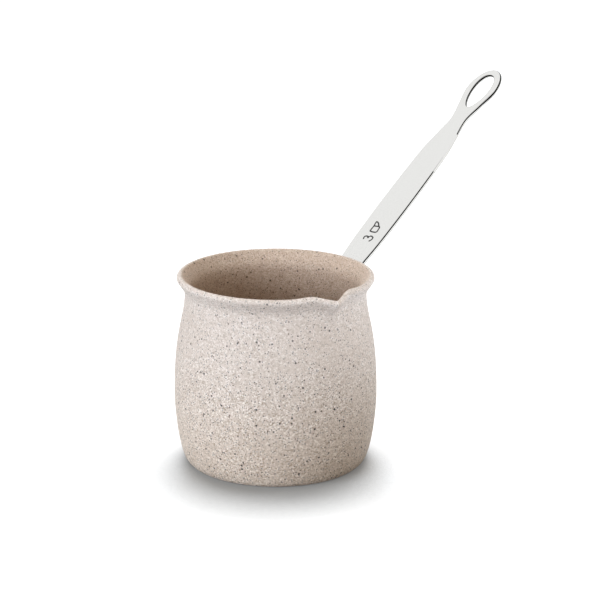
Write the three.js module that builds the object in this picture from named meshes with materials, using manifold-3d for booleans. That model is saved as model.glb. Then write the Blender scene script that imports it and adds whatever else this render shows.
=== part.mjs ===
// Turkish coffee pot: a coated, lipped pot body with a pressed pouring spout, and a strap
// handle with a hanging eye that is held under the lip by two rivets.
// Lengths are in millimetres. The origin is the centre of the standing face, +Z is up and
// the handle runs out over +X.

import * as THREE from "three";
import { mergeVertices } from "three/addons/utils/BufferGeometryUtils.js";
import Module from "manifold-3d";

const wasm = await Module();
wasm.setup();

// Driving dimensions of the pot body
const pot = {
  height: 79.6,
  wall: 2.8,
  floor: 3.4,
  bellyRadius: 42.1,
  bellyHeight: 27.9,
  standInset: 6.1,
  cornerReach: 4.3,
  cornerPull: 6.1,
  shoulderPull: 29,
  neckPull: 10.5,
  neckInset: 4.65,
  neckFillet: 5.6,
  lipOverhang: 3.15,
  flareAngle: THREE.MathUtils.degToRad(34.4),
};
const standRadius = pot.bellyRadius - pot.standInset;
const neckRadius = pot.bellyRadius - pot.neckInset;
const lipRadius = neckRadius + pot.lipOverhang;

// Driving dimensions of the pouring spout, which is pressed outward and down at the lip
const spout = {
  angle: THREE.MathUtils.degToRad(-95),
  width: 21,
  reach: 3.8,
  dip: 1.6,
  swell: 0.5,
  length: 15,
};

// The press's shape: how wide it still is at its foot and how far its swells spread, as shares
// of its width at the lip, and how pointed its crest is
const pressShares = { foot: 0.5, spread: 0.45 };
const crestPower = 1.25;

// Driving dimensions of the ring grooves turned into the underside
const groove = { width: 1.6, depth: 0.5 };
const grooveRadiusShares = [0.3, 0.55, 0.8];

// Driving dimensions of the strap handle
const strap = {
  thickness: 1.5,
  edge: 0.3,
  slope: THREE.MathUtils.degToRad(40.6),
  leave: 1.2,
  bend: 9,
  padEnd: 6.5,
  gripWidth: 16.1,
  neckAt: 82.5,
  neckWidth: 8.8,
  neckToEye: 17.5,
  eyeWidth: 17,
  tip: 12,
};
const eyeAt = strap.neckAt + strap.neckToEye;

// Driving dimensions of the hanging eye, measured along and across the strap. It is a drop:
// its widest place lies past its middle, and its ends are blunt or pointed by these shares of
// its length and of its half width.
const eye = { length: 18.4, width: 9.1, tipBand: 3.6 };
const dropShares = { widest: 0.06, tipRound: 0.62, flank: 1.1, gripRound: 0.45 };

// Driving dimensions of the rivets
const rivet = {
  shank: 2,
  headRadius: 4,
  headHeight: 1.3,
  tailRadius: 3.6,
  tailHeight: 1.5,
  upperDrop: 15,
  pitch: 12,
};

// Clearance between pieces that seat on each other, and the overrun of every cut
const seat = 0.3;
const overrun = 5;

// Counts of steps that set how finely the curves are faceted. The pot's turn is crowded toward
// the spout by a share, and the strap's round ends start this share of a step from their tips.
const potSteps = { turnCount: 76, cornerCount: 8, shoulderCount: 9, filletCount: 5, lipCount: 8 };
const strapSteps = { gripCount: 33, tipCount: 10, padCount: 6, bendCount: 4, acrossCount: 4 };
const roundSteps = { eyeCount: 8, discCount: 28, domeCount: 4 };
const crowdingShare = 0.42;
const endStepShare = 0.3;

// Width of the strap between the lip and the hanging eye: each row is a share of the
// distance from the lip to the strap's neck, and a share of the grip's width
const gripShares = [
  [0.0, 0.86],
  [0.12, 0.945],
  [0.29, 0.995],
  [0.485, 1.0],
  [0.66, 0.96],
  [0.8, 0.875],
  [0.9, 0.7],
];

const materials = {
  coating: new THREE.MeshStandardMaterial({ color: 0xc9bfb6, roughness: 0.75, metalness: 0 }),
  steel: new THREE.MeshStandardMaterial({ color: 0xe6e6e4, roughness: 0.2, metalness: 1 }),
  rivet: new THREE.MeshStandardMaterial({ color: 0xc4c4c2, roughness: 0.35, metalness: 1 }),
};

// A closed geometry as a solid that can be cut
function solidOf(geometry) {
  const bare = geometry.clone();
  bare.deleteAttribute("normal");
  bare.deleteAttribute("uv");
  const merged = mergeVertices(bare);
  const corners = merged.index.array;
  const faces = [];
  for (let i = 0; i < corners.length; i += 3) {
    const [a, b, c] = corners.slice(i, i + 3);
    if (a !== b && b !== c && c !== a) faces.push(a, b, c);
  }
  const mesh = new wasm.Mesh({
    numProp: 3,
    vertProperties: merged.attributes.position.array,
    triVerts: new Uint32Array(faces),
  });
  return new wasm.Manifold(mesh);
}

// A solid back as a geometry
function geometryOf(solid) {
  const mesh = solid.getMesh();
  const geometry = new THREE.BufferGeometry();
  geometry.setAttribute("position", new THREE.BufferAttribute(mesh.vertProperties, 3));
  geometry.setIndex(new THREE.BufferAttribute(mesh.triVerts, 1));
  geometry.computeVertexNormals();
  return geometry;
}

// A geometry with several cutters taken out of it
function cut(geometry, cutters) {
  const solid = cutters.reduce((rest, cutter) => rest.subtract(solidOf(cutter)), solidOf(geometry));
  return geometryOf(solid);
}

// Points along a profile curve that runs upward round the pot, with outward normals
function samples(curve, count) {
  return Array.from({ length: count + 1 }, (_, i) => {
    const point = curve.getPoint(i / count);
    const along = curve.getTangent(i / count);
    return { point, normal: new THREE.Vector2(along.y, -along.x) };
  });
}

const shifted = ({ point, normal }, distance) => point.clone().addScaledVector(normal, distance);
const at = (x, y) => new THREE.Vector2(x, y);

// The lip is the wall's edge rounded to a full half circle, and the flare runs down from it
const lipRound = pot.wall / 2;
const lipCentre = at(lipRadius - lipRound, pot.height - lipRound);
const flareNormal = at(Math.cos(pot.flareAngle), -Math.sin(pot.flareAngle));
const flareUp = at(Math.sin(pot.flareAngle), Math.cos(pot.flareAngle));
const flareTop = lipCentre.clone().addScaledVector(flareNormal, lipRound);
const flareLength = (flareTop.x - neckRadius) / flareUp.x;
const crease = flareTop.clone().addScaledVector(flareUp, -flareLength);

// The neck fillet joins the shoulder to the flare and never takes more than the flare's length
const halfTurn = Math.tan(pot.flareAngle / 2);
const filletRadius = Math.min(pot.neckFillet, flareLength / halfTurn);
const neck = at(neckRadius, crease.y - filletRadius * halfTurn);
const belly = at(pot.bellyRadius, pot.bellyHeight);

// The bottom corner, drawn for the outside, or for the inside when moved in and up
function cornerCurve(inward, upward) {
  const start = at(standRadius - inward, upward);
  const end = at(belly.x - inward, belly.y);
  const startPull = at(start.x + pot.cornerReach, start.y);
  const endPull = at(end.x, end.y - pot.cornerPull);
  return new THREE.CubicBezierCurve(start, startPull, endPull, end);
}

const shoulderCurve = new THREE.CubicBezierCurve(
  belly,
  at(belly.x, belly.y + pot.shoulderPull),
  at(neck.x, neck.y - pot.neckPull),
  neck,
);

// The concave fillet turns from straight up to the flare's slope round a centre outside the neck
const filletSamples = Array.from({ length: potSteps.filletCount + 1 }, (_, i) => {
  const turned = (pot.flareAngle * i) / potSteps.filletCount;
  const normal = at(Math.cos(turned), -Math.sin(turned));
  const centre = at(neck.x + filletRadius, neck.y);
  return { point: centre.addScaledVector(normal, -filletRadius), normal };
});

// Outer wall from the belly to the top of the flare
const wallSamples = [
  ...samples(shoulderCurve, potSteps.shoulderCount),
  ...filletSamples.slice(1),
  { point: flareTop, normal: flareNormal },
];

// Outline of the underside: V-shaped rings between flat lands that all stand on one plane
function undersideOutline() {
  const rings = grooveRadiusShares.flatMap((share) => {
    const radius = share * standRadius;
    return [
      at(radius - groove.width / 2, 0),
      at(radius, groove.depth),
      at(radius + groove.width / 2, 0),
    ];
  });
  return [at(0, 0), ...rings];
}

// The pot's whole section, from the axis under the floor, round the lip, to the axis inside
function potOutline() {
  const corner = samples(cornerCurve(0, 0), potSteps.cornerCount).map(({ point }) => point);
  const innerCorner = samples(cornerCurve(pot.wall, pot.floor), potSteps.cornerCount);
  const lip = Array.from({ length: potSteps.lipCount - 1 }, (_, i) => {
    const angle = (Math.PI * (i + 1)) / potSteps.lipCount - pot.flareAngle;
    return lipCentre.clone().add(at(lipRound * Math.cos(angle), lipRound * Math.sin(angle)));
  });
  return [
    ...undersideOutline(),
    ...corner,
    ...wallSamples.slice(1).map(({ point }) => point),
    ...lip,
    ...wallSamples.slice(1).reverse().map((sample) => shifted(sample, -pot.wall)),
    ...innerCorner.reverse().map(({ point }) => point),
    at(0, pot.floor),
  ];
}

// The spout's press: the lip goes out and down most on the spout's own line, swells a little
// on both sides of it, and both fade to nothing further down the wall
function pressed(radius, fromSpout, height) {
  const rise = THREE.MathUtils.smoothstep(height, pot.height - spout.length, pot.height);
  const halfWidth = (spout.width / 2) * THREE.MathUtils.lerp(pressShares.foot, 1, rise);
  const aside = (lipRadius * Math.abs(fromSpout)) / halfWidth;
  const press = rise * (1 - Math.min(aside, 1) ** crestPower) ** 2;
  const swell = rise * Math.exp(-(((aside - 1) / pressShares.spread) ** 2));
  return {
    radius: radius + spout.reach * press,
    height: height + spout.swell * swell - spout.dip * press,
  };
}

// The section turned round the axis. The turn is closer stepped near the spout, where the
// press needs it, and every point takes the press.
function potShell() {
  const shell = new THREE.LatheGeometry(potOutline(), potSteps.turnCount);
  const place = shell.attributes.position;
  for (let i = 0; i < place.count; i += 1) {
    const [x, height, z] = [place.getX(i), place.getY(i), place.getZ(i)];
    const turned = Math.atan2(x, z);
    const fromSpout = turned - crowdingShare * Math.sin(turned);
    const moved = pressed(Math.hypot(x, z), fromSpout, height);
    const angle = fromSpout + spout.angle;
    place.setXYZ(i, moved.radius * Math.cos(angle), moved.radius * Math.sin(angle), moved.height);
  }
  return shell;
}

// The strap's route is its upper face in the XZ plane. It runs up the wall at seat distance,
// follows the flare, and turns away just under the lip to the slope of the grip.
function strapRoute() {
  const leaveCorner = flareTop.clone().addScaledVector(flareUp, -strap.leave);
  leaveCorner.addScaledVector(flareNormal, seat);
  const flareSlope = Math.PI / 2 - pot.flareAngle;
  const turn = flareSlope - strap.slope;
  const bendStart = leaveCorner.clone().addScaledVector(flareUp, -strap.bend * Math.tan(turn / 2));
  const bendCentre = bendStart.clone().addScaledVector(flareNormal, strap.bend);
  const wall = wallSamples
    .slice(0, -1)
    .map((sample) => ({ point: shifted(sample, seat), normal: sample.normal }));
  const bend = Array.from({ length: strapSteps.bendCount + 1 }, (_, i) => {
    const angle = pot.flareAngle + (turn * i) / strapSteps.bendCount;
    const normal = at(Math.cos(angle), -Math.sin(angle));
    return { point: bendCentre.clone().addScaledVector(normal, -strap.bend), normal };
  });
  const last = bend.at(-1);
  const along = at(Math.cos(strap.slope), Math.sin(strap.slope));
  const tip = last.point.clone().addScaledVector(along, eyeAt + strap.tip);
  const stops = [...wall, ...bend, { point: tip, normal: last.normal }];
  stops[0].distance = 0;
  stops.slice(1).forEach((stop, i) => {
    stop.distance = stops[i].distance + stop.point.distanceTo(stops[i].point);
  });
  return stops;
}

const route = strapRoute();

// Place and outward normal of the strap's route at a distance along it
function routeAt(distance) {
  const next = Math.max(1, route.findIndex((stop) => stop.distance >= distance));
  const [from, to] = [route[next - 1], route[next]];
  const share = (distance - from.distance) / (to.distance - from.distance);
  return {
    point: from.point.clone().lerp(to.point, share),
    normal: from.normal.clone().lerp(to.normal, share).normalize(),
  };
}

// Distances along the route, from the pad's lower end to the section through the hanging eye
const lipDistance = route.at(-2).distance;
const eyeDistance = lipDistance + eyeAt;
const neckDistance = route[potSteps.shoulderCount].distance;
const rivetDistances = [0, 1].map((i) => neckDistance - rivet.upperDrop - i * rivet.pitch);
const padDistance = rivetDistances.at(-1) - strap.padEnd;

// Width of the strap at a distance along its route
const widthKnots = [
  ...gripShares.map(([far, wide]) => [far * strap.neckAt, wide * strap.gripWidth]),
  [strap.neckAt, strap.neckWidth],
  [(strap.neckAt + eyeAt) / 2, (strap.neckWidth + strap.eyeWidth) / 2],
  [eyeAt, strap.eyeWidth],
];
const widthCurve = new THREE.CubicInterpolant(
  widthKnots.map(([far]) => far),
  widthKnots.map(([, wide]) => wide),
  1,
);
widthCurve.settings = { endingStart: THREE.ZeroSlopeEnding, endingEnd: THREE.ZeroSlopeEnding };

const rootWidth = widthKnots[0][1];
const roundEnd = (share) => Math.sqrt(Math.max(0, 1 - share ** 2));

function strapWidth(distance) {
  const fromPadRound = padDistance + rootWidth / 2 - distance;
  if (fromPadRound > 0) return rootWidth * roundEnd(fromPadRound / (rootWidth / 2));
  if (distance <= lipDistance) return rootWidth;
  if (distance <= eyeDistance) return widthCurve.evaluate(distance - lipDistance)[0];
  return strap.eyeWidth * roundEnd((distance - eyeDistance) / strap.tip);
}

// Distances of the sections: closer at both round ends and at the bend under the lip
function sectionDistances() {
  const padRound = rootWidth / 2;
  const ends = Array.from({ length: strapSteps.padCount }, (_, i) => {
    const angle = (Math.PI / 2) * ((i + endStepShare) / strapSteps.padCount);
    return padDistance + padRound * (1 - Math.cos(angle));
  });
  const bends = route.map((stop) => stop.distance).filter((far) => far > padDistance + padRound);
  const grips = Array.from({ length: strapSteps.gripCount }, (_, i) => {
    return lipDistance + (eyeAt * (i + 1)) / strapSteps.gripCount;
  });
  const tips = Array.from({ length: strapSteps.tipCount - 1 }, (_, i) => {
    const angle = (Math.PI / 2) * ((i + 1) / (strapSteps.tipCount - endStepShare));
    return eyeDistance + strap.tip * Math.sin(angle);
  });
  return [...ends, padDistance + padRound, ...bends.slice(0, -1), ...grips, ...tips];
}

// One section across the strap: flat faces with chamfered edges. On the wall the section is
// wrapped round the pot, and from the flare outward it is flat.
function strapSection(distance) {
  const { point, normal } = routeAt(distance);
  const half = strapWidth(distance) / 2;
  const edge = Math.min(strap.edge, half / 2);
  const wrap = 1 - THREE.MathUtils.smoothstep(distance, neckDistance, lipDistance);
  const inner = half - edge;
  const lateral = Array.from({ length: strapSteps.acrossCount + 1 }, (_, i) => {
    return inner * ((2 * i) / strapSteps.acrossCount - 1);
  });
  const outline = [
    ...lateral.map((side) => [side, 0]),
    [half, edge],
    [half, strap.thickness - edge],
    ...lateral.map((side) => [-side, strap.thickness]),
    [-half, strap.thickness - edge],
    [-half, edge],
  ];
  return outline.map(([side, depth]) => {
    const out = point.x + normal.x * depth;
    const wrapped = Math.sqrt(out ** 2 - side ** 2);
    const x = THREE.MathUtils.lerp(out, wrapped, wrap);
    return [x, side, point.y + normal.y * depth];
  });
}

// A closed solid through a row of sections that have equally many points
function loft(sections) {
  const count = sections[0].length;
  const faces = [];
  for (let row = 0; row + 1 < sections.length; row += 1) {
    for (let i = 0; i < count; i += 1) {
      const next = (i + 1) % count;
      const [a, b] = [row * count + i, row * count + next];
      faces.push(a, a + count, b, b, a + count, b + count);
    }
  }
  const last = (sections.length - 1) * count;
  for (let i = 1; i + 1 < count; i += 1) {
    faces.push(0, i, i + 1, last, last + i + 1, last + i);
  }
  const geometry = new THREE.BufferGeometry();
  geometry.setAttribute("position", new THREE.Float32BufferAttribute(sections.flat(2), 3));
  geometry.setIndex(faces);
  return geometry;
}

// Turns a piece drawn along +Z so that its +Z points outward along a normal in the XZ plane
// and its +X points up the strap, toward the tip
function placed(geometry, point, normal) {
  const out = new THREE.Vector3(normal.x, 0, normal.y);
  const across = new THREE.Vector3(0, -1, 0);
  const along = new THREE.Vector3().crossVectors(across, out);
  const frame = new THREE.Matrix4().makeBasis(along, across, out);
  frame.setPosition(point.x, 0, point.y);
  return geometry.applyMatrix4(frame);
}

// Cutter for the hanging eye: a drop shape, narrow toward the grip and round toward the tip
function eyeCutter() {
  const far = eyeDistance + strap.tip - eye.tipBand;
  const { point, normal } = routeAt(far - eye.length / 2);
  const half = eye.width / 2;
  const widest = eye.length * dropShares.widest;
  const flank = widest - half * dropShares.flank;
  const [gripEnd, tipEnd] = [-eye.length / 2, eye.length / 2];
  const gripRound = half * dropShares.gripRound;
  const tipRound = half * dropShares.tipRound;
  const drop = new THREE.Shape();
  drop.moveTo(tipEnd, 0);
  drop.bezierCurveTo(tipEnd, tipRound, widest + half, half, widest, half);
  drop.bezierCurveTo(flank, half, gripEnd, gripRound, gripEnd, 0);
  drop.bezierCurveTo(gripEnd, -gripRound, flank, -half, widest, -half);
  drop.bezierCurveTo(widest + half, -half, tipEnd, -tipRound, tipEnd, 0);
  const depth = strap.thickness + 2 * overrun;
  const shape = { depth, bevelEnabled: false, curveSegments: roundSteps.eyeCount };
  const prism = new THREE.ExtrudeGeometry(drop, shape);
  prism.translate(0, 0, -overrun);
  return placed(prism, point, normal);
}

// Cutters for the rivet holes, which run through the pot's wall and the strap's pad
function rivetHoles() {
  return rivetDistances.map((distance) => {
    const { point, normal } = routeAt(distance);
    const length = 2 * (pot.wall + strap.thickness + overrun);
    const radius = rivet.shank + seat;
    const hole = new THREE.CylinderGeometry(radius, radius, length, roundSteps.discCount);
    return placed(hole.rotateX(Math.PI / 2), point, normal);
  });
}

// A rivet, drawn along +Z from the wall's inside face outward: a low domed head, the shank
// through wall and strap, and the tail upset to a button
function rivetSolid(distance) {
  const { point, normal } = routeAt(distance);
  const innerRadius = point.x - seat - pot.wall;
  const sag = innerRadius - Math.sqrt(innerRadius ** 2 - rivet.headRadius ** 2);
  const headSeat = -(seat + pot.wall + seat + sag);
  const tailSeat = strap.thickness + seat;
  const dome = (radius, height, base) => {
    return Array.from({ length: roundSteps.domeCount }, (_, i) => {
      const angle = ((Math.PI / 2) * i) / roundSteps.domeCount;
      return at(radius * Math.cos(angle), base + height * Math.sin(angle));
    });
  };
  const outline = [
    at(0, headSeat - rivet.headHeight),
    ...dome(rivet.headRadius, -rivet.headHeight, headSeat).reverse(),
    at(rivet.shank, headSeat),
    at(rivet.shank, tailSeat),
    ...dome(rivet.tailRadius, rivet.tailHeight, tailSeat),
    at(0, tailSeat + rivet.tailHeight),
  ];
  const turned = new THREE.LatheGeometry(outline, roundSteps.discCount).rotateX(Math.PI / 2);
  return placed(turned, point, normal);
}

function named(name, geometry, material) {
  const mesh = new THREE.Mesh(geometry, material);
  mesh.name = name;
  return mesh;
}

const coffeePot = new THREE.Group();
coffeePot.add(named("pot_body", cut(potShell(), rivetHoles()), materials.coating));

const strapBlank = loft(sectionDistances().map(strapSection));
coffeePot.add(named("handle", cut(strapBlank, [eyeCutter(), ...rivetHoles()]), materials.steel));

["rivet_upper", "rivet_lower"].forEach((name, i) => {
  const geometry = geometryOf(solidOf(rivetSolid(rivetDistances[i])));
  coffeePot.add(named(name, geometry, materials.rivet));
});

export default coffeePot;
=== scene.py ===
"""Looks of a small coffee pot with a pressed spout and a riveted strap handle.

Every length is in metres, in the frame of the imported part: the origin is the centre of the
standing face, +Z is up and the handle runs out over +X.
"""

import math

import bpy
import numpy as np
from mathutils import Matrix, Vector
from mathutils.geometry import delaunay_2d_cdt


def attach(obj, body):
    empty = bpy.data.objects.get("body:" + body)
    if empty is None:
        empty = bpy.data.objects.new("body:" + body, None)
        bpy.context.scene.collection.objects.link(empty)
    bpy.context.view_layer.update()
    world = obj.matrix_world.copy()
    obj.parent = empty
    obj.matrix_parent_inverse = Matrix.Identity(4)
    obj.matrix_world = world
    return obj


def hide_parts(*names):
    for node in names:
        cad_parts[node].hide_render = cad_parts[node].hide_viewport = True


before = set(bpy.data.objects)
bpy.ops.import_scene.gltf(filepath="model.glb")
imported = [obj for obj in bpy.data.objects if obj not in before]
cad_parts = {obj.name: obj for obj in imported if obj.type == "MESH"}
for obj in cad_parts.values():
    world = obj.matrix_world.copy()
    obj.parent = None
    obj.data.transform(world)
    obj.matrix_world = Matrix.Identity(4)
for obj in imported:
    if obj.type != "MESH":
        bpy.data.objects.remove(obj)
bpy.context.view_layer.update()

# Pot body
HEIGHT = 0.0796
WALL = 0.0028
FLOOR = 0.0034
BELLY_RADIUS = 0.0421
BELLY_HEIGHT = 0.0279
STAND_INSET = 0.0061
STAND_RADIUS = BELLY_RADIUS - STAND_INSET
NECK_INSET = 0.00465
NECK_RADIUS = BELLY_RADIUS - NECK_INSET
NECK_FILLET = 0.0056
LIP_FLARE = 0.00315
LIP_RADIUS = NECK_RADIUS + LIP_FLARE
FLARE_ANGLE = math.radians(34.4)

# Pulls of the curves between the pot's stand, belly and neck
CORNER_REACH = 0.0043
CORNER_PULL = 0.0061
SHOULDER_PULL = 0.029
NECK_PULL = 0.0105

# Pouring spout, pressed out and down at the lip
SPOUT_ANGLE = math.radians(-95)
SPOUT_WIDTH = 0.021
SPOUT_REACH = 0.0038
SPOUT_DIP = 0.0016
SPOUT_SWELL = 0.0005
SPOUT_LENGTH = 0.015
FOOT_SHARE = 0.5
SWELL_SPREAD_SHARE = 0.45
CREST_POWER = 1.25

# Rings turned into the underside
GROOVE_WIDTH = 0.0016
GROOVE_DEPTH = 0.0005
GROOVE_RADIUS_SHARES = (0.3, 0.55, 0.8)

# Strap handle
STRAP_THICKNESS = 0.0015
STRAP_SLOPE = math.radians(40.6)
STRAP_LEAVE = 0.0012
STRAP_BEND = 0.009
PAD_END = 0.0065
GRIP_WIDTH = 0.0161
NECK_AT = 0.0825
NECK_WIDTH = 0.0088
NECK_TO_EYE = 0.0175
EYE_AT = NECK_AT + NECK_TO_EYE
EYE_BAND_WIDTH = 0.017
TIP = 0.012
# Each is a share of the way from the lip to the neck, and of the grip's width
GRIP_SHARES = (
    (0.0, 0.86), (0.12, 0.945), (0.29, 0.995), (0.485, 1.0), (0.66, 0.96), (0.8, 0.875), (0.9, 0.7),
)

# Edges of the strap
UPPER_EDGE = 0.00055
EYE_EDGE = 0.0008
LOWER_EDGE = 0.00038
SHEAR_BAND = 0.0001
# The painted dark reflection on the upper rounding is left out between these shares of the way from the lip
# to the neck
BRIGHT_SHARES = (0.64, 0.9)

# Hanging eye, a drop that is blunt toward the tip
EYE_LENGTH = 0.0184
EYE_WIDTH = 0.0091
TIP_BAND = 0.0036
DROP_SHARES = {"widest": 0.06, "tip_round": 0.62, "flank": 1.1, "grip_round": 0.45}

# Rivets
SHANK_RADIUS = 0.002
HEAD_RADIUS = 0.004
HEAD_HEIGHT = 0.0013
TAIL_RADIUS = 0.0036
TAIL_HEIGHT = 0.0015
UPPER_DROP = 0.015
RIVET_PITCH = 0.012

# Clearance between pieces that seat on each other
SEAT = 0.0003

# Camera of the photograph
CAMERA_AZIMUTH = math.radians(-40)
CAMERA_ELEVATION = math.radians(16.41)
CAMERA_DISTANCE = 0.824
CAMERA_AIM = Vector((0, 0, 0.0681))
CAMERA_LENS = 120
CAMERA_SHIFT = 0.0407

# Fineness of the meshes
TURN_STEPS = 320
CROWDING_SHARE = 0.42
CORNER_STEPS = 16
SHOULDER_STEPS = 30
FILLET_STEPS = 10
FLARE_STEPS = 4
LIP_STEPS = 18
GROOVE_STEPS = 8
DISC_STEPS = 64
DOME_STEPS = 12
ARC_STEPS = 18
EDGE_STEPS = 5
DARK_REFLECTION_STEPS = 3
EDGE_MARGIN = 0.00006
STRAP_SPACING = 0.0015
LEAST_STEPS = 2
SAME_PLACE = 1e-9

# Printed size marks on the strap
MARK_HEIGHT = 0.005
MARK_FROM_LIP = 0.0003
MARK_STROKE = 0.00064
MARK_RISE = 0.00004
MARK_SINK = 0.00005
MARK_STEPS = 6
# Strokes in shares of the marks' height: along the strap from the marks' start, and across it
THREE_SHARES = (
    ((2.47, 0.366), (2.59, 0.44), (2.70, 0.444), (2.79, 0.37), (2.834, 0.196), (2.79, 0.06), (2.65, 0.02)),
    ((2.65, 0.02), (2.80, -0.02), (2.90, -0.10), (2.93, -0.22), (2.90, -0.38), (2.84, -0.49), (2.726, -0.528),
     (2.55, -0.472), (2.394, -0.332)),
)
CUP_SHARES = (
    ((3.386, 0.338), (3.67, 0.32), (3.962, 0.304), (4.284, 0.374)),
    ((3.386, 0.338), (3.365, 0.03), (3.386, -0.24), (3.438, -0.446)),
    ((3.438, -0.446), (3.62, -0.44), (3.79, -0.425), (3.96, -0.41)),
    ((3.962, 0.304), (3.994, 0.042), (4.026, -0.268), (3.96, -0.41)),
    ((4.284, 0.374), (4.428, 0.344), (4.36, 0.1), (4.26, -0.024), (4.068, -0.208)),
)

# How procedural noise is cut: its detail, its middle and the spans of it that are used
SOFT_DETAIL = 2
FINE_DETAIL = 3
NOISE_MIDDLE = (0.5, 0.5, 0.5)
WIDE_SPAN = (0.3, 0.7)
NARROW_SPAN = (0.35, 0.65)

# Grain of the stone-effect coating
GRAIN_SPACING = 0.00046
PALE_GRAINS = (0.6, 1)
DARK_GRAINS = (0, 0.4)
WOBBLE_SCALE = 1300
WOBBLE_REACH = 0.00018
FINE_SCALE = 1800
FINE_ROUGHNESS = 0.6
CLOUD_SCALE = 70
CLOUD_SHARE = 0.25
# Heights between which the grain grows calmer, and the share of it that is lost above them
CALM_EDGE = (0.03, 0.06)
CALM_SHARE = 0.38

# Colours of the coating, as 0 to 255
GROUND_LOW = (166, 148, 132)
GROUND_MIDDLE = (208, 193, 183)
GROUND_HIGH = (240, 232, 226)
GROUND_CLOUD = (200, 185, 174)
WHITE = (255, 250, 245)
BROWN = (70, 50, 38)
BLACK = (12, 8, 6)

# Painted shade in the coating, as tints: toward the base, on faces that look inward, and deep inside
BASE_SHADE_TINT = (0.93, 0.87, 0.79)
BASE_SHADE_EDGE = (-0.01, 0.065)
INNER_SHADE_TINT = (0.84, 0.76, 0.68)
INNER_SHADE_EDGE = (-0.6, 0.1)
DEEP_SHADE_TINT = (0.47, 0.33, 0.21)
INSIDE_REACH = 0.06
DEEP_SHADE_EDGE = (0.2, 0.97)
# Heights between which the deep painted shade sets in, and the share of it that is left below them
DEPTH_EDGE = (0.028, 0.056)
DEPTH_SHARE = 0.1

# Specks: spacing, share of the places that carry one, smallest radius and largest radius
WHITE_SPECKS = (0.001, 0.6, 0.00018, 0.00034)
BROWN_SPECKS = (0.001, 0.7, 0.00016, 0.0003)
BLACK_SPECKS = (0.0022, 0.44, 0.00023, 0.00046)
SPECK_BLUR = 0.025
# Heights between which the dark specks fade to a share of their strength
DARK_EDGE = (0.015, 0.075)
DARK_TOP_SHARE = 0.75

# Surface of the coating
COATING_ROUGHNESS = (0.55, 0.45)
COATING_GLOSS = 0.3
COATING_BUMP = 0.00002

# Polished steel of the strap
BRUSH_SCALE = (60, 5000, 5000)
STEEL_LOW = (228, 228, 226)
STEEL_HIGH = (236, 236, 234)
STEEL_ROUGHNESS = (0.08, 0.14)
STEEL_BUMP = 0.000002
SMUDGE_SCALE = 90
SMUDGE_SPAN = (0.45, 0.7)
SMUDGE_ROUGHNESS = 0.05

# Sheared metal on the strap's edges, and near-black metal that paints a dark reflection on their upper
# rounding
EDGE_STREAK_SCALE = 2500
SHEAR_LOW = (150, 149, 147)
SHEAR_HIGH = (186, 185, 183)
SHEAR_ROUGHNESS = 0.5
# Near-black colours of the painted dark reflection
DARK_REFLECTION_LOW = (24, 24, 23)
DARK_REFLECTION_HIGH = (40, 39, 38)
DARK_REFLECTION_ROUGHNESS = 0.3

# Rivet metal
DENT_SCALE = 900
RIVET_LOW = (196, 195, 192)
RIVET_HIGH = (218, 217, 214)
RIVET_ROUGHNESS = (0.28, 0.42)
RIVET_BUMP = 0.00003

# Etched marks
ETCH_SCALE = 3000
ETCH_LOW = (34, 33, 32)
ETCH_HIGH = (56, 54, 52)
ETCH_ROUGHNESS = 0.6

# Curve by which screens show colours
SHADE_TOP = 255
CURVE_START = 0.04045
CURVE_SLOPE = 12.92
CURVE_OFFSET = 0.055
CURVE_POWER = 2.4

# Floor, and the pot's soft shade painted into its glow: how much the pot hides of the sky round one direction
FLOOR_REACH = 6
FLOOR_GAP = 0.0002
FLOOR_WHITE = 0.25
FLOOR_GLOW = 1
OCCLUSION_SAMPLES = 16
CONTACT_AZIMUTH = math.radians(140)
CONTACT_ELEVATION = math.radians(48)
CONTACT_REACH = 0.06
CONTACT_EDGE = (0.38, 0.9)
CONTACT_GLOW = 0.12

# Surroundings: a dim warm light, and a grey panel that only mirrored rays see
AMBIENT = 0.215
AMBIENT_TINT = (1.42, 0.98, 0.36)
PANEL_SIDE = (0.88, 0.208, 0.428)
PANEL_SIDE_EDGE = (0.04, 0.2)
PANEL_SIDE_FAR = (-0.75, -0.6)
PANEL_FRONT_EDGE = (0.25, 0.5)
PANEL_SHADE = 0.4

# Lamps, all of one shade: name, direction from the pot, distance, diameter and power in watts
LAMP_SHADE = (226, 240, 255)
LAMPS = (
    ("left_lamp", (-1, 0, 0.25), 1.3, 0.9, 19.2),
    ("front_lamp", (-0.5, -0.766, 0.15), 1.3, 0.9, 4.4),
    ("back_lamp", (0.56, 0.83, 0.25), 1.3, 0.5, 17),
    ("top_lamp", (0.1, 0.1, 1), 1.3, 0.6, 8),
    ("high_lamp", (0.585, -0.8, 0.987), 0.396, 0.2, 0.28),
)

# Soft spot on the lip
SPOT_TOWARD = (0.45, -0.87, -0.06)
SPOT_DISTANCE = 0.6
SPOT_AIM = Vector((0, 0, 0.085))
SPOT_REACH = 0.075
SPOT_RADIUS = 0.04
SPOT_POWER = 11


def smoothstep(value, low, high):
    """Rises smoothly from 0 at low to 1 at high."""
    share = np.clip((value - low) / (high - low), 0, 1)
    return share * share * (3 - 2 * share)


def bezier(start, pull_start, pull_end, end, count):
    """Points along a cubic curve, and unit tangents at them."""
    share = np.linspace(0, 1, count + 1)[:, None]
    rest = 1 - share
    a, b, c, d = (np.array(point, float) for point in (start, pull_start, pull_end, end))
    points = rest**3 * a + 3 * rest**2 * share * b + 3 * rest * share**2 * c + share**3 * d
    tangents = rest**2 * (b - a) + 2 * rest * share * (c - b) + share**2 * (d - c)
    return points, tangents / np.linalg.norm(tangents, axis=1)[:, None]


def curve_weights(share):
    """Weights of the two ends of a smooth curve: each end's place, and then its slope."""
    rest = 1 - share
    fall, lead = (1 + 2 * share) * rest**2, share * rest**2
    rise, tail = share**2 * (3 - 2 * share), share**2 * (share - 1)
    return fall, lead, rise, tail


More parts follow.
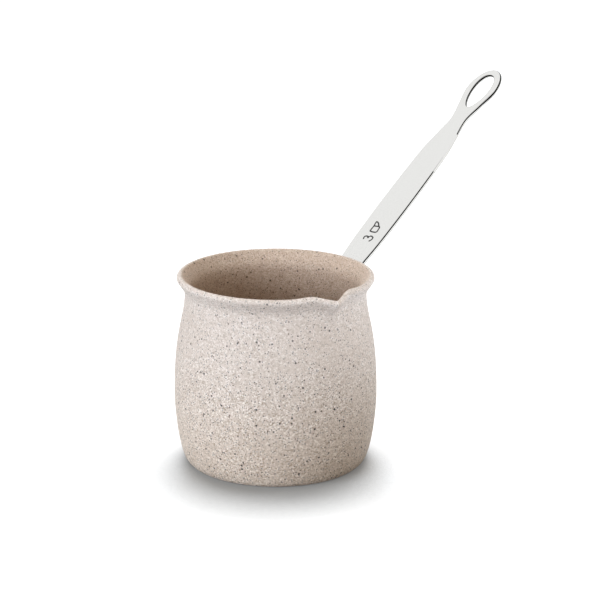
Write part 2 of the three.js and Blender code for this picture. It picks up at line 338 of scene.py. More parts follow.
def facing(azimuth, elevation):
    """Unit direction from the pot. Azimuth 0 lies in front, over -Y, and 90 degrees over +X."""
    level = math.cos(elevation)
    return Vector((math.sin(azimuth) * level, -math.cos(azimuth) * level, math.sin(elevation)))


def mesh_object(name, points, faces, *materials, smooth=True):
    """A mesh piece that rides on the part's one body."""
    mesh = bpy.data.meshes.new(name)
    mesh.from_pydata([tuple(map(float, point)) for point in points], [], faces)
    mesh.validate()
    mesh.polygons.foreach_set("use_smooth", [smooth] * len(mesh.polygons))
    for material in materials:
        mesh.materials.append(material)
    piece = bpy.data.objects.new(name, mesh)
    bpy.context.scene.collection.objects.link(piece)
    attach(piece, "root")
    return piece


# The pot's section: the flare runs up from the neck fillet to the lip, a full half circle
LIP_ROUND = WALL / 2
LIP_CENTRE = np.array([LIP_RADIUS - LIP_ROUND, HEIGHT - LIP_ROUND])
FLARE_NORMAL = np.array([math.cos(FLARE_ANGLE), -math.sin(FLARE_ANGLE)])
FLARE_UP = np.array([math.sin(FLARE_ANGLE), math.cos(FLARE_ANGLE)])
FLARE_TOP = LIP_CENTRE + FLARE_NORMAL * LIP_ROUND
FLARE_LENGTH = (FLARE_TOP[0] - NECK_RADIUS) / FLARE_UP[0]
HALF_TURN = math.tan(FLARE_ANGLE / 2)
FILLET_RADIUS = min(NECK_FILLET, FLARE_LENGTH / HALF_TURN)
NECK_HEIGHT = FLARE_TOP[1] - FLARE_UP[1] * FLARE_LENGTH - FILLET_RADIUS * HALF_TURN
NECK = np.array([NECK_RADIUS, NECK_HEIGHT])
BELLY = np.array([BELLY_RADIUS, BELLY_HEIGHT])


def corner(inward, upward):
    """Points of the bottom corner: the outside's, or the inside's when moved in and up."""
    start = np.array([STAND_RADIUS - inward, upward])
    end = BELLY - np.array([inward, 0])
    pull_start = start + np.array([CORNER_REACH, 0])
    pull_end = end - np.array([0, CORNER_PULL])
    return bezier(start, pull_start, pull_end, end, CORNER_STEPS)[0]


def wall():
    """Points and outward normals of the outer wall, from the belly to the top of the flare."""
    pull_belly = BELLY + np.array([0, SHOULDER_PULL])
    pull_neck = NECK - np.array([0, NECK_PULL])
    points, tangents = bezier(BELLY, pull_belly, pull_neck, NECK, SHOULDER_STEPS)
    normals = np.stack([tangents[:, 1], -tangents[:, 0]], 1)
    turned = np.linspace(0, FLARE_ANGLE, FILLET_STEPS + 1)[1:]
    fillet_normals = np.stack([np.cos(turned), -np.sin(turned)], 1)
    fillet = NECK + np.array([FILLET_RADIUS, 0]) - FILLET_RADIUS * fillet_normals
    shares = np.linspace(0, 1, FLARE_STEPS + 1)[1:, None]
    flare = fillet[-1] + (FLARE_TOP - fillet[-1]) * shares
    flare_normals = np.tile(FLARE_NORMAL, (FLARE_STEPS, 1))
    return np.vstack([points, fillet, flare]), np.vstack([normals, fillet_normals, flare_normals])


def underside():
    """Points from the axis outward under the pot, with round-bottomed rings between flat lands."""
    across = np.linspace(-1, 1, GROOVE_STEPS + 1)
    rise = GROOVE_DEPTH * (1 - across**2) ** 2
    grooves = [
        np.stack([share * STAND_RADIUS + across * GROOVE_WIDTH / 2, rise], 1)
        for share in GROOVE_RADIUS_SHARES
    ]
    return np.vstack(grooves)


def pot_outline():
    """The whole section from under the floor, round the lip, to the floor inside."""
    points, normals = wall()
    turned = np.linspace(0, math.pi, LIP_STEPS + 1)[1:-1] - FLARE_ANGLE
    lip = LIP_CENTRE + LIP_ROUND * np.stack([np.cos(turned), np.sin(turned)], 1)
    inner = (points - normals * WALL)[::-1]
    inner_corner = corner(WALL, FLOOR)[::-1]
    floor = [(share * STAND_RADIUS, FLOOR) for share in reversed(GROOVE_RADIUS_SHARES)]
    return np.vstack([underside(), corner(0, 0), points[1:], lip, inner[:-1], inner_corner, floor])


def pressed(radius, from_spout, height):
    """Radius and height of a point of the section once the spout has been pressed."""
    rise = smoothstep(height, HEIGHT - SPOUT_LENGTH, HEIGHT)
    half_width = SPOUT_WIDTH / 2 * (FOOT_SHARE + (1 - FOOT_SHARE) * rise)
    aside = LIP_RADIUS * np.abs(from_spout) / half_width
    press = rise * (1 - np.minimum(aside, 1) ** CREST_POWER) ** 2
    swell = rise * np.exp(-(((aside - 1) / SWELL_SPREAD_SHARE) ** 2))
    return radius + SPOUT_REACH * press, height + SPOUT_SWELL * swell - SPOUT_DIP * press


def turned_mesh(radii, heights, angles):
    """Points and faces of a closed turned body: radii and heights have a row for each step of
    the section and a column for each angle. Its two ends close on the axis."""
    rows, columns = radii.shape
    ring = np.stack([radii * np.cos(angles), radii * np.sin(angles), heights], 2).reshape(-1, 3)
    ends = [(0, 0, heights[0].mean()), (0, 0, heights[-1].mean())]
    column = np.arange(columns)
    following = (column + 1) % columns
    faces = []
    for row in range(rows - 1):
        low, high = row * columns, (row + 1) * columns
        quads = np.stack([low + column, low + following, high + following, high + column], 1)
        faces.extend(quads.tolist())
    start, stop, last = rows * columns, rows * columns + 1, (rows - 1) * columns
    faces.extend([start, int(b), int(a)] for a, b in zip(column, following))
    faces.extend([last + int(a), last + int(b), stop] for a, b in zip(column, following))
    return np.vstack([ring, ends]), faces


def pot_shell(material):
    """The coated pot: one turned section with the spout pressed into its lip. The steps round
    the axis are crowded toward the spout."""
    outline = pot_outline()
    turned = np.linspace(-math.pi, math.pi, TURN_STEPS, endpoint=False)
    from_spout = turned - CROWDING_SHARE * np.sin(turned)
    radii, heights = pressed(outline[:, :1], from_spout[None, :], outline[:, 1:])
    points, faces = turned_mesh(radii, heights, from_spout + SPOUT_ANGLE)
    shell = mesh_object("pot_shell", points, faces, material)
    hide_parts("pot_body")
    return shell


def strap_route():
    """The strap's upper face in the XZ plane: distances, places and outward normals. It runs
    up the wall at seat distance, follows the flare, and turns away under the lip."""
    points, normals = (rows[:-FLARE_STEPS] for rows in wall())
    points = points + SEAT * normals
    turn = math.pi / 2 - FLARE_ANGLE - STRAP_SLOPE
    leave = FLARE_TOP - STRAP_LEAVE * FLARE_UP + SEAT * FLARE_NORMAL
    start = leave - STRAP_BEND * math.tan(turn / 2) * FLARE_UP
    angles = FLARE_ANGLE + np.linspace(0, turn, FILLET_STEPS + 1)
    bend_normals = np.stack([np.cos(angles), -np.sin(angles)], 1)
    bend = start + STRAP_BEND * (FLARE_NORMAL - bend_normals)
    along = np.array([math.cos(STRAP_SLOPE), math.sin(STRAP_SLOPE)])
    tip = bend[-1] + along * (EYE_AT + TIP)
    places = np.vstack([points, bend, tip])
    steps = np.linalg.norm(np.diff(places, axis=0), axis=1)
    distances = np.concatenate([[0], np.cumsum(steps)])
    return distances, places, np.vstack([normals, bend_normals, bend_normals[-1:]])


DISTANCES, PLACES, NORMALS = strap_route()
LIP_AT = DISTANCES[-2]
NECK_DISTANCE = DISTANCES[SHOULDER_STEPS]
RIVETS_AT = [NECK_DISTANCE - UPPER_DROP, NECK_DISTANCE - UPPER_DROP - RIVET_PITCH]
PAD_AT = RIVETS_AT[1] - PAD_END
ROOT_WIDTH = GRIP_SHARES[0][1] * GRIP_WIDTH


def route_at(distance):
    """Places and unit outward normals of the strap's upper face at distances along it."""
    place = np.stack([np.interp(distance, DISTANCES, PLACES[:, axis]) for axis in (0, 1)], -1)
    normal = np.stack([np.interp(distance, DISTANCES, NORMALS[:, axis]) for axis in (0, 1)], -1)
    return place, normal / np.linalg.norm(normal, axis=-1, keepdims=True)


def on_strap(distance, side, depth):
    """Points of the strap in space: distance along it, side across it, depth below its upper
    face. On the wall the strap is wrapped round the pot, and from the flare outward it is flat."""
    distance, side, depth = np.broadcast_arrays(distance, side, depth)
    place, normal = route_at(distance)
    out = place[:, 0] + normal[:, 0] * depth
    wrap = 1 - smoothstep(distance, NECK_DISTANCE, LIP_AT)
    wrapped = out + (np.sqrt(out**2 - side**2) - out) * wrap
    return np.stack([wrapped, side, place[:, 1] + normal[:, 1] * depth], 1)


def strap_width(distance):
    """Width of the strap from the lip to its widest place at the eye, by a smooth curve."""
    knots = [(far * NECK_AT, wide * GRIP_WIDTH) for far, wide in GRIP_SHARES]
    knots.append((NECK_AT, NECK_WIDTH))
    knots.append(((NECK_AT + EYE_AT) / 2, (NECK_WIDTH + EYE_BAND_WIDTH) / 2))
    knots.append((EYE_AT, EYE_BAND_WIDTH))
    far, wide = np.array(knots).T
    slopes = np.gradient(wide, far)
    slopes[[0, -1]] = 0
    index = np.clip(np.searchsorted(far, distance) - 1, 0, len(far) - 2)
    span = far[index + 1] - far[index]
    fall, lead, rise, tail = curve_weights((distance - far[index]) / span)
    start = fall * wide[index] + lead * span * slopes[index]
    end = rise * wide[index + 1] + tail * span * slopes[index + 1]
    return start + end


def spaced(start, stop):
    """Even steps from start up to, but not including, stop."""
    steps = max(LEAST_STEPS, round((stop - start) / STRAP_SPACING))
    return np.linspace(start, stop, steps, endpoint=False)


def strap_loop():
    """The strap's flat outline, anticlockwise, as distances and sides."""
    quarter = np.linspace(0, math.pi / 2, ARC_STEPS + 1)
    pad_round = ROOT_WIDTH / 2
    straight = spaced(PAD_AT + pad_round, LIP_AT)
    grip = spaced(0, EYE_AT)
    eye = LIP_AT + EYE_AT
    upper = np.vstack([
        np.stack([PAD_AT + pad_round * (1 - np.cos(quarter[:-1])), pad_round * np.sin(quarter[:-1])], 1),
        np.stack([straight, np.full_like(straight, pad_round)], 1),
        np.stack([LIP_AT + grip, strap_width(grip) / 2], 1),
        np.stack([eye + TIP * np.sin(quarter), EYE_BAND_WIDTH / 2 * np.cos(quarter)], 1),
    ])
    lower = upper[1:-1] * (1, -1)
    return np.vstack([lower, upper[::-1]])


def eye_loop():
    """The hanging eye's outline, clockwise: a drop that is blunt toward the tip."""
    middle = LIP_AT + EYE_AT + TIP - TIP_BAND - EYE_LENGTH / 2
    half = EYE_WIDTH / 2
    widest = EYE_LENGTH * DROP_SHARES["widest"]
    flank = widest - half * DROP_SHARES["flank"]
    grip_end, tip_end = -EYE_LENGTH / 2, EYE_LENGTH / 2
    grip_round, tip_round = half * DROP_SHARES["grip_round"], half * DROP_SHARES["tip_round"]
    side = (widest, half)
    toward_tip = bezier((grip_end, 0), (grip_end, grip_round), (flank, half), side, ARC_STEPS)[0]
    over_tip = bezier(side, (widest + half, half), (tip_end, tip_round), (tip_end, 0), ARC_STEPS)[0]
    upper = np.vstack([toward_tip, over_tip[1:]])
    lower = upper[1:-1][::-1] * (1, -1)
    return np.vstack([upper, lower]) + (middle, 0)


def rivet_hole_loop(distance):
    """A rivet hole's outline in the pad, clockwise."""
    angles = np.linspace(0, -2 * math.pi, DISC_STEPS // 2, endpoint=False)
    radius = SHANK_RADIUS + SEAT
    return np.stack([distance + radius * np.cos(angles), radius * np.sin(angles)], 1)


def inward_normals(loop):
    """Unit normals to the left of a closed loop, which is the side that its metal is on."""
    tangents = np.roll(loop, -1, 0) - np.roll(loop, 1, 0)
    tangents /= np.linalg.norm(tangents, axis=1)[:, None]
    return np.stack([-tangents[:, 1], tangents[:, 0]], 1)


def inside(loops, points):
    """True where points lie in the metal between the outline and its holes."""
    odd = np.zeros(len(points), bool)
    for loop in loops:
        for (x0, y0), (x1, y1) in zip(loop, np.roll(loop, -1, 0)):
            if y0 == y1:
                continue
            crosses = (y0 > points[:, 1]) != (y1 > points[:, 1])
            reach = x0 + (points[:, 1] - y0) * (x1 - x0) / (y1 - y0)
            odd ^= crosses & (points[:, 0] < reach)
    return odd


def clear_of(loops, points, gap):
    """True where points keep a gap to every loop's corners."""
    corners = np.vstack(loops)
    apart = points[:, None, :] - corners[None, :, :]
    return (np.linalg.norm(apart, axis=2) > gap).all(1)


def face_mesh(loops):
    """Flat points and triangles between the loops. The loops' own points come first."""
    corners = np.vstack(loops)
    low, high = corners.min(0), corners.max(0)
    along = np.arange(low[0], high[0], STRAP_SPACING)
    across = np.arange(low[1], high[1], STRAP_SPACING)
    grid = np.stack(np.meshgrid(along, across), 2).reshape(-1, 2)
    grid = grid[inside(loops, grid)]
    grid = grid[clear_of(loops, grid, STRAP_SPACING / 2)]
    points = np.vstack([corners, grid])
    edges, start = [], 0
    for loop in loops:
        count = len(loop)
        edges.extend((start + i, start + (i + 1) % count) for i in range(count))
        start += count
    made = delaunay_2d_cdt([Vector(point) for point in points], edges, [], 0, SAME_PLACE)
    flat = np.array([tuple(point) for point in made[0]])
    triangles = np.array(made[2])
    kept = inside(loops, flat[triangles].mean(1))
    return flat, triangles[kept]


def upper_edge(distance):
    """Rounding of the strap's upper edge, which grows from the neck to the eye."""
    share = smoothstep(distance, LIP_AT + NECK_AT, LIP_AT + EYE_AT)
    return UPPER_EDGE + (EYE_EDGE - UPPER_EDGE) * share


def edge_section(rounding):
    """Insets from the outline and depths below the upper face, down the strap's edge: a wide
    rounding at the top, the plain side, a narrow sheared band and a small rounding below it."""
    turn = np.linspace(0, math.pi / 2, EDGE_STEPS + 1)
    insets, depths = 1 - np.sin(turn), 1 - np.cos(turn)
    upper = [(rounding * inset, rounding * depth) for inset, depth in zip(insets, depths)]
    lower = [
        (LOWER_EDGE * inset, STRAP_THICKNESS - LOWER_EDGE * depth)
        for inset, depth in zip(insets[::-1], depths[::-1])
    ]
    return [*upper, (0, STRAP_THICKNESS - LOWER_EDGE - SHEAR_BAND), *lower]


POLISHED, SHEARED, DARK_REFLECTION = range(3)


def edge_looks(row, distance):
    """Materials of one row of faces along the strap's edge. The last steps of the upper rounding
    are near-black, a painted dark reflection, apart from a stretch before the neck."""
    first_sheared = EDGE_STEPS + 2
    # Painted dark reflection: the last rows of the upper rounding take the near-black edge metal
    if EDGE_STEPS - DARK_REFLECTION_STEPS < row <= EDGE_STEPS:
        along = (distance - LIP_AT) / NECK_AT
        bright = (along >= BRIGHT_SHARES[0]) & (along <= BRIGHT_SHARES[1])
        return np.where(bright, POLISHED, DARK_REFLECTION).tolist()
    if first_sheared <= row <= first_sheared + EDGE_STEPS:
        return [SHEARED] * len(distance)
    return [POLISHED] * len(distance)


def strap_handle(polished, sheared, dark_reflection):
    """The strap: both faces, and the edges along its outline, its eye and its holes."""
    loops = [strap_loop(), eye_loop(), *(rivet_hole_loop(distance) for distance in RIVETS_AT)]
    inward = [inward_normals(loop) for loop in loops]
    roundings = [upper_edge(loop[:, :1]) for loop in loops]
    borders = [
        loop + normal * (rounding + EDGE_MARGIN)
        for loop, normal, rounding in zip(loops, inward, roundings)
    ]
    flat, triangles = face_mesh(borders)
    count = len(flat)
    points = [on_strap(flat[:, 0], flat[:, 1], depth) for depth in (0, STRAP_THICKNESS)]
    faces = triangles.tolist() + (triangles[:, ::-1] + count).tolist()
    looks = [POLISHED] * len(faces)
    start, total = 0, 2 * count
    for loop, normal, rounding in zip(loops, inward, roundings):
        ring = np.arange(len(loop))
        rows = [start + ring]
        for inset, depth in edge_section(rounding):
            place = loop + normal * inset
            points.append(on_strap(place[:, 0], place[:, 1], np.ravel(depth)))
            rows.append(total + ring)
            total += len(loop)
        rows.append(count + start + ring)
        for row, (upper, lower) in enumerate(zip(rows, rows[1:])):
            quads = np.stack([upper, lower, np.roll(lower, -1), np.roll(upper, -1)], 1)
            faces.extend(quads.tolist())
            looks.extend(edge_looks(row, loop[:, 0]))
        start += len(loop)
    strap = mesh_object("strap_handle", np.vstack(points), faces, polished, sheared, dark_reflection)
    strap.data.polygons.foreach_set("material_index", looks)
    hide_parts("handle")
    return strap


def rivet(name, node, distance, material):
    """A rivet turned about the wall's normal: a domed head inside, a button tail outside."""
    place, normal = route_at(distance)
    inner_radius = place[0] - SEAT - WALL
    sag = inner_radius - math.sqrt(inner_radius**2 - HEAD_RADIUS**2)
    head_seat = -(SEAT + WALL + SEAT + sag)
    tail_seat = STRAP_THICKNESS + SEAT
    turn = np.linspace(0, math.pi / 2, DOME_STEPS, endpoint=False)

    def dome(radius, height, base):
        return np.stack([radius * np.cos(turn), base + height * np.sin(turn)], 1)

    outline = np.vstack([
        dome(HEAD_RADIUS, -HEAD_HEIGHT, head_seat)[::-1],
        [(SHANK_RADIUS, head_seat), (SHANK_RADIUS, tail_seat)],
        dome(TAIL_RADIUS, TAIL_HEIGHT, tail_seat),
    ])
    angles = np.linspace(0, 2 * math.pi, DISC_STEPS, endpoint=False)
    radii = np.tile(outline[:, :1], (1, DISC_STEPS))
    heights = np.tile(outline[:, 1:], (1, DISC_STEPS))
    turned, faces = turned_mesh(radii, heights, angles)
    turned[-2:, 2] = head_seat - HEAD_HEIGHT, tail_seat + TAIL_HEIGHT
    out = np.array([normal[0], 0, normal[1]])
    along = np.array([-normal[1], 0, normal[0]])
    across = np.cross(out, along)
    basis = np.stack([along, across, out])
    points = turned @ basis + (place[0], 0, place[1])
    piece = mesh_object(name, points, faces, material)
    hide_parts(node)
    return piece


def smoothed(points, count):
    """A smooth line through points, with count steps between each two of them."""
    points = np.array(points, float)
    slopes = np.gradient(points, axis=0)
    fall, lead, rise, tail = curve_weights(np.linspace(0, 1, count, endpoint=False)[:, None])
    rows = [
        fall * points[i] + rise * points[i + 1] + lead * slopes[i] + tail * slopes[i + 1]
        for i in range(len(points) - 1)
    ]
    return np.vstack([*rows, points[-1:]])


def mark(name, strokes, material):
    """Flat printed strokes on the strap's upper face."""
    section = ((1, MARK_SINK), (1, -MARK_RISE), (-1, -MARK_RISE), (-1, MARK_SINK))
    points, faces, total = [], [], 0
    for stroke in strokes:
        line = smoothed(stroke, MARK_STEPS) * MARK_HEIGHT
        tangents = np.gradient(line, axis=0)
        tangents /= np.linalg.norm(tangents, axis=1)[:, None]
        side = np.stack([-tangents[:, 1], tangents[:, 0]], 1) * MARK_STROKE / 2
        size = len(line)
        for offset, depth in section:
            place = line + offset * side
            points.append(on_strap(LIP_AT + MARK_FROM_LIP + place[:, 0], place[:, 1], depth))
        corners = [total + row * size for row in range(len(section))]
        for i in range(size - 1):
            for here, following in zip(corners, corners[1:] + corners[:1]):
                faces.append((here + i, here + i + 1, following + i + 1, following + i))
        faces.append(tuple(corners))
        faces.append(tuple(end + size - 1 for end in reversed(corners)))
        total += len(section) * size
    piece = mesh_object(name, np.vstack(points), faces, material, smooth=False)
    return piece


def linear(*shade):
    """A colour written as 0 to 255, as the linear colour that shaders take."""
    shares = np.array(shade) / SHADE_TOP
    curved = ((shares + CURVE_OFFSET) / (1 + CURVE_OFFSET)) ** CURVE_POWER
    return (*np.where(shares <= CURVE_START, shares / CURVE_SLOPE, curved).tolist(), 1)


def feed(tree, target, inputs):
    """Gives a node's inputs plain values or other nodes' outputs."""
    for name, value in dict(inputs).items():
        if isinstance(value, bpy.types.NodeSocket):
            tree.links.new(value, target.inputs[name])
        else:
            target.inputs[name].default_value = value


def node(tree, kind, inputs=(), **settings):
    """Adds a node to a tree, with its settings and inputs."""
    made = tree.nodes.new("ShaderNode" + kind)
    for name, value in settings.items():
        setattr(made, name, value)
    feed(tree, made, inputs)
    return made


def maths(tree, operation, *values):
    """The output of a node that works out one sum."""
    return node(tree, "Math", enumerate(values), operation=operation).outputs[0]


def vector_maths(tree, operation, *values):
    """The vector output of a node that works out one sum of vectors."""
    return node(tree, "VectorMath", enumerate(values), operation=operation).outputs["Vector"]


def alignment(tree, first, second):
    """How far two directions agree: 1 along each other, -1 against each other."""
    return node(tree, "VectorMath", {0: first, 1: second}, operation="DOT_PRODUCT").outputs["Value"]


def noise(tree, place, scale, detail, output="Fac", **more):
    """Procedural noise over places."""
    inputs = {"Vector": place, "Scale": scale, "Detail": detail, **more}
    return node(tree, "TexNoise", inputs).outputs[output]


def ramp(tree, value, low, high, start=0, end=1):
    """A smooth change from start to end as a value goes from low to high."""
    inputs = {"Value": value, "From Min": low, "From Max": high, "To Min": start, "To Max": end}
    return node(tree, "MapRange", inputs, interpolation_type="SMOOTHSTEP").outputs["Result"]


def blend_colours(tree, share, first, second, kind="MIX"):
    """The first colour with a share of the second one mixed in, or multiplied onto it."""
    made = node(tree, "Mix", {0: share, 6: first, 7: second}, data_type="RGBA", blend_type=kind)
    return made.outputs[2]


def relief(tree, height, depth):
    """The surface's normal with a fine relief in it."""
    return node(tree, "Bump", {"Height": height, "Distance": depth, "Strength": 1}).outputs["Normal"]


def new_material(name):
    """A material with a bare surface shader, and its tree."""
    material = bpy.data.materials.new(name)
    material.use_nodes = True
    return material, material.node_tree, material.node_tree.nodes["Principled BSDF"]


def own_place(tree):
    """The place on the object itself, in metres."""
    return node(tree, "TexCoord").outputs["Object"]


def specks(tree, place, spacing, active, small, large):
    """Round specks of random sizes on a share of the cells of a random grid, as 0 or 1."""
    cells = node(tree, "TexVoronoi", {"Vector": place, "Scale": 1 / spacing, "Randomness": 1})
    chance = node(tree, "SeparateColor", {"Color": cells.outputs["Color"]})
    radius = ramp(tree, chance.outputs["Green"], 0, 1, small / spacing, large / spacing)
    edge = maths(tree, "SUBTRACT", cells.outputs["Distance"], radius)
    disc = ramp(tree, edge, -SPECK_BLUR, SPECK_BLUR, 1, 0)
    chosen = maths(tree, "LESS_THAN", chance.outputs["Red"], active)
    return maths(tree, "MULTIPLY", disc, chosen)


def grain_colour(tree, place, chance, height, calm):
    """The coating's ground: pale, middle and dark grains, calmer toward the lip, with soft clouds,
    a painted shade that makes it darker and warmer toward the base, and strewn with white specks."""
    middle = linear(*GROUND_MIDDLE)
    ground = blend_colours(tree, ramp(tree, chance, *PALE_GRAINS), middle, linear(*GROUND_HIGH))
    ground = blend_colours(tree, ramp(tree, chance, *DARK_GRAINS, 1, 0), ground, linear(*GROUND_LOW))
    ground = blend_colours(tree, calm, ground, middle)
    cloud = ramp(tree, noise(tree, place, CLOUD_SCALE, SOFT_DETAIL), *NARROW_SPAN)
    ground = blend_colours(tree, maths(tree, "MULTIPLY", cloud, CLOUD_SHARE), ground, linear(*GROUND_CLOUD))
    # Painted shade: the ground grows darker and warmer toward the base
    ground = blend_colours(tree, ramp(tree, height, *BASE_SHADE_EDGE, 1, 0), ground, (*BASE_SHADE_TINT, 1), "MULTIPLY")
    white = maths(tree, "MULTIPLY", specks(tree, place, *WHITE_SPECKS), maths(tree, "SUBTRACT", 1, calm))
    return blend_colours(tree, white, ground, linear(*WHITE))


def painted_inside_shade(tree, place, height, ground):
    """A ground with the painted shade of the pot's inside: a darker, browner one on faces that look
    toward the axis, and a deeper one where the walls close in, which fades out near the floor."""
    level = vector_maths(tree, "MULTIPLY", place, (1, 1, 0))
    outward = vector_maths(tree, "NORMALIZE", level)
    away = alignment(tree, outward, node(tree, "TexCoord").outputs["Normal"])
    # Painted shade: darker and browner on faces that look toward the axis
    ground = blend_colours(tree, ramp(tree, away, *INNER_SHADE_EDGE, 1, 0), ground, (*INNER_SHADE_TINT, 1), "MULTIPLY")
    # Painted shade that deepens where the walls close in
    reach = {"Distance": INSIDE_REACH}
    closed = node(tree, "AmbientOcclusion", reach, samples=OCCLUSION_SAMPLES, only_local=True)
    shade = ramp(tree, closed.outputs["AO"], *DEEP_SHADE_EDGE, 1, 0)
    shade = maths(tree, "MULTIPLY", shade, ramp(tree, height, *DEPTH_EDGE, DEPTH_SHARE, 1))
    return blend_colours(tree, shade, ground, (*DEEP_SHADE_TINT, 1), "MULTIPLY")


def coating_material():
    """Matt stone-effect coating: a pale speckled ground with brown and near-black specks, and painted shade
    toward the base and inside.
    """
    material, tree, shader = new_material("stone_coating")
    place = own_place(tree)
    wobble = noise(tree, place, WOBBLE_SCALE, SOFT_DETAIL, "Color")
    centred = vector_maths(tree, "SUBTRACT", wobble, NOISE_MIDDLE)
    place = vector_maths(tree, "MULTIPLY_ADD", centred, (WOBBLE_REACH, WOBBLE_REACH, WOBBLE_REACH), place)
    grains = node(tree, "TexVoronoi", {"Vector": place, "Scale": 1 / GRAIN_SPACING})
    chance = node(tree, "SeparateColor", {"Color": grains.outputs["Color"]}).outputs["Red"]
    height = node(tree, "SeparateXYZ", {"Vector": place}).outputs["Z"]
    calm = ramp(tree, height, *CALM_EDGE, 0, CALM_SHARE)
    ground = grain_colour(tree, place, chance, height, calm)
    ground = painted_inside_shade(tree, place, height, ground)
    shown = ramp(tree, height, *DARK_EDGE, 1, DARK_TOP_SHARE)
    for values, shade in ((BROWN_SPECKS, BROWN), (BLACK_SPECKS, BLACK)):
        spots = maths(tree, "MULTIPLY", specks(tree, place, *values), shown)
        ground = blend_colours(tree, spots, ground, linear(*shade))
    fine = noise(tree, place, FINE_SCALE, FINE_DETAIL, Roughness=FINE_ROUGHNESS)
    bumps = maths(tree, "ADD", grains.outputs["Distance"], fine)
    feed(tree, shader, {
        "Base Color": ground,
        "Roughness": ramp(tree, fine, *WIDE_SPAN, *COATING_ROUGHNESS),
        "Specular IOR Level": COATING_GLOSS,
        "Normal": relief(tree, bumps, COATING_BUMP),
    })
    return material


def steel_material():
    """Polished steel with fine brushing along the strap and a few faint smudges."""
    material, tree, shader = new_material("polished_strap_steel")
    place = own_place(tree)
    turned = {"Vector": place, "Rotation": (0, STRAP_SLOPE, 0), "Scale": BRUSH_SCALE}
    brushing = noise(tree, node(tree, "Mapping", turned).outputs[0], 1, FINE_DETAIL)
    shine = ramp(tree, brushing, *WIDE_SPAN, *STEEL_ROUGHNESS)
    smudges = noise(tree, place, SMUDGE_SCALE, SOFT_DETAIL)
    smudge = ramp(tree, smudges, *SMUDGE_SPAN, 0, SMUDGE_ROUGHNESS)
    tone = ramp(tree, brushing, *NARROW_SPAN)
    feed(tree, shader, {
        "Base Color": blend_colours(tree, tone, linear(*STEEL_LOW), linear(*STEEL_HIGH)),
        "Metallic": 1,
        "Roughness": maths(tree, "ADD", shine, smudge),
        "Normal": relief(tree, brushing, STEEL_BUMP),
    })
    return material


def edge_material(name, low, high, roughness):
    """Finely torn metal along an edge of the strap, or near-black metal for a painted dark reflection."""
    material, tree, shader = new_material(name)
    edge_streaks = noise(tree, own_place(tree), EDGE_STREAK_SCALE, SOFT_DETAIL)
    feed(tree, shader, {
        "Base Color": blend_colours(tree, edge_streaks, linear(*low), linear(*high)),
        "Metallic": 1,
        "Roughness": roughness,
        "Normal": relief(tree, edge_streaks, STEEL_BUMP),
    })
    return material


def rivet_material():
    """Satin aluminium with the small dents of the rivet set."""
    material, tree, shader = new_material("satin_rivet_metal")
    dents = noise(tree, own_place(tree), DENT_SCALE, SOFT_DETAIL)
    feed(tree, shader, {
        "Base Color": blend_colours(tree, dents, linear(*RIVET_LOW), linear(*RIVET_HIGH)),
        "Metallic": 1,
        "Roughness": ramp(tree, dents, *WIDE_SPAN, *RIVET_ROUGHNESS),
        "Normal": relief(tree, dents, RIVET_BUMP),
    })
    return material


def mark_material():
    """Dark etched marking, slightly uneven."""
    material, tree, shader = new_material("etched_marking")
    worn = noise(tree, own_place(tree), ETCH_SCALE, SOFT_DETAIL)
    colour = blend_colours(tree, worn, linear(*ETCH_LOW), linear(*ETCH_HIGH))
    feed(tree, shader, {"Base Color": colour, "Roughness": ETCH_ROUGHNESS})
    return material


def seen_rays(tree):
    """Three values that are 1 for some rays and 0 for others: the rays of the camera and of
    glass, the rays of gloss, and all of these, which are the rays that show the background."""
    path = node(tree, "LightPath")
    plain = maths(tree, "MAXIMUM", path.outputs["Is Camera Ray"], path.outputs["Is Transmission Ray"])
    glossy = path.outputs["Is Glossy Ray"]
    return plain, glossy, maths(tree, "MAXIMUM", plain, glossy)


def studio_floor():
    """Plain pale floor: white to the camera away from the pot, darker where the pot shades it, mostly by a
    shadow painted into its glow.
    """
    material, tree, shader = new_material("pale_floor")
    tilted = node(tree, "CombineXYZ", enumerate(facing(CONTACT_AZIMUTH, CONTACT_ELEVATION)))
    hemisphere = {"Distance": CONTACT_REACH, "Normal": tilted.outputs[0]}
    near = node(tree, "AmbientOcclusion", hemisphere, samples=OCCLUSION_SAMPLES)
    # Painted shadow: the floor's glow dims where the pot hides the tilted sky
    glow = ramp(tree, near.outputs["AO"], *CONTACT_EDGE, CONTACT_GLOW, FLOOR_GLOW)
    seen = seen_rays(tree)[-1]
    feed(tree, shader, {
        "Base Color": (FLOOR_WHITE, FLOOR_WHITE, FLOOR_WHITE, 1),
        "Roughness": 1,
        "Specular IOR Level": 0,
        "Emission Color": (1, 1, 1, 1),
        "Emission Strength": maths(tree, "MULTIPLY", seen, glow),
    })
    mesh = bpy.data.meshes.new("studio_floor")
    signs = ((-1, -1), (1, -1), (1, 1), (-1, 1))
    mesh.from_pydata([(x * FLOOR_REACH, y * FLOOR_REACH, -FLOOR_GAP) for x, y in signs], [], [(0, 1, 2, 3)])
    mesh.materials.append(material)
    floor = bpy.data.objects.new("studio_floor", mesh)
    bpy.context.scene.collection.objects.link(floor)


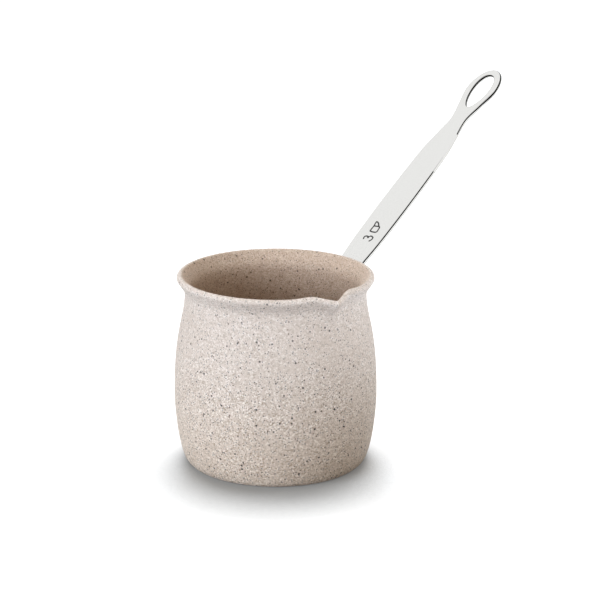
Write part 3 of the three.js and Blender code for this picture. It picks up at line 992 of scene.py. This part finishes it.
def studio_world():
    """White surroundings for the rays that show them, with a grey panel that only mirrored rays
    see, and a dim warm light for all other rays."""
    world = bpy.data.worlds.new("studio")
    world.use_nodes = True
    bpy.context.scene.world = world
    tree = world.node_tree
    direction = node(tree, "TexCoord").outputs["Generated"]
    ahead = node(tree, "SeparateXYZ", {"Vector": direction}).outputs["Y"]
    aside = alignment(tree, direction, PANEL_SIDE)
    near_edge, far_edge = ramp(tree, aside, *PANEL_SIDE_EDGE, 1, 0), ramp(tree, aside, *PANEL_SIDE_FAR)
    card = maths(tree, "MULTIPLY", near_edge, far_edge)
    card = maths(tree, "MULTIPLY", card, ramp(tree, ahead, *PANEL_FRONT_EDGE, 1, 0))
    panel = ramp(tree, card, 0, 1, 1, PANEL_SHADE)
    plain, glossy, seen = seen_rays(tree)
    shown = maths(tree, "MAXIMUM", plain, maths(tree, "MULTIPLY", glossy, panel))
    ambient = maths(tree, "MULTIPLY", maths(tree, "SUBTRACT", 1, seen), AMBIENT)
    feed(tree, tree.nodes["Background"], {
        "Color": blend_colours(tree, seen, (*AMBIENT_TINT, 1), (1, 1, 1, 1)),
        "Strength": maths(tree, "ADD", shown, ambient),
    })


def place_lamp(light, aim, toward, distance):
    """Hangs a light at a distance from the place that it is aimed at. Polished steel shows the
    plain surroundings instead of it."""
    light.color = linear(*LAMP_SHADE)[:3]
    holder = bpy.data.objects.new(light.name, light)
    direction = Vector(toward).normalized()
    holder.location = aim + direction * distance
    holder.rotation_euler = direction.to_track_quat("Z", "Y").to_euler()
    holder.visible_camera = False
    holder.visible_glossy = False
    bpy.context.scene.collection.objects.link(holder)


def round_lamp(name, toward, distance, size, power):
    """A round soft lamp that faces the pot."""
    light = bpy.data.lights.new(name, "AREA")
    light.shape = "DISK"
    light.size = size
    light.energy = power
    place_lamp(light, CAMERA_AIM, toward, distance)


def spot_lamp():
    """A soft-edged lamp whose light is strongest on the lip and fades out down the pot."""
    light = bpy.data.lights.new("lip_spot", "SPOT")
    light.spot_size = 2 * math.atan(SPOT_REACH / SPOT_DISTANCE)
    light.spot_blend = 1
    light.shadow_soft_size = SPOT_RADIUS
    light.energy = SPOT_POWER
    place_lamp(light, SPOT_AIM, SPOT_TOWARD, SPOT_DISTANCE)


def photo_camera():
    """The camera at the photograph's viewing angle."""
    data = bpy.data.cameras.new("photo_camera")
    data.lens = CAMERA_LENS
    data.shift_x = CAMERA_SHIFT
    camera = bpy.data.objects.new("photo_camera", data)
    back = facing(CAMERA_AZIMUTH, CAMERA_ELEVATION)
    camera.location = CAMERA_AIM + back * CAMERA_DISTANCE
    camera.rotation_euler = back.to_track_quat("Z", "Y").to_euler()
    bpy.context.scene.collection.objects.link(camera)
    bpy.context.scene.camera = camera


photo_camera()
bpy.context.scene.view_settings.view_transform = "Standard"
pot_shell(coating_material())
# The strap's near-black edge metal paints a dark reflection on its upper rounding
strap_handle(
    steel_material(),
    edge_material("sheared_edge", SHEAR_LOW, SHEAR_HIGH, SHEAR_ROUGHNESS),
    edge_material("painted_reflection_edge", DARK_REFLECTION_LOW, DARK_REFLECTION_HIGH, DARK_REFLECTION_ROUGHNESS),
)
rivet_metal = rivet_material()
rivet("upper_rivet", "rivet_upper", RIVETS_AT[0], rivet_metal)
rivet("lower_rivet", "rivet_lower", RIVETS_AT[1], rivet_metal)
etching = mark_material()
mark("number_three", THREE_SHARES, etching)
mark("cup_sign", CUP_SHARES, etching)
studio_floor()
studio_world()
for lamp_values in LAMPS:
    round_lamp(*lamp_values)
spot_lamp()
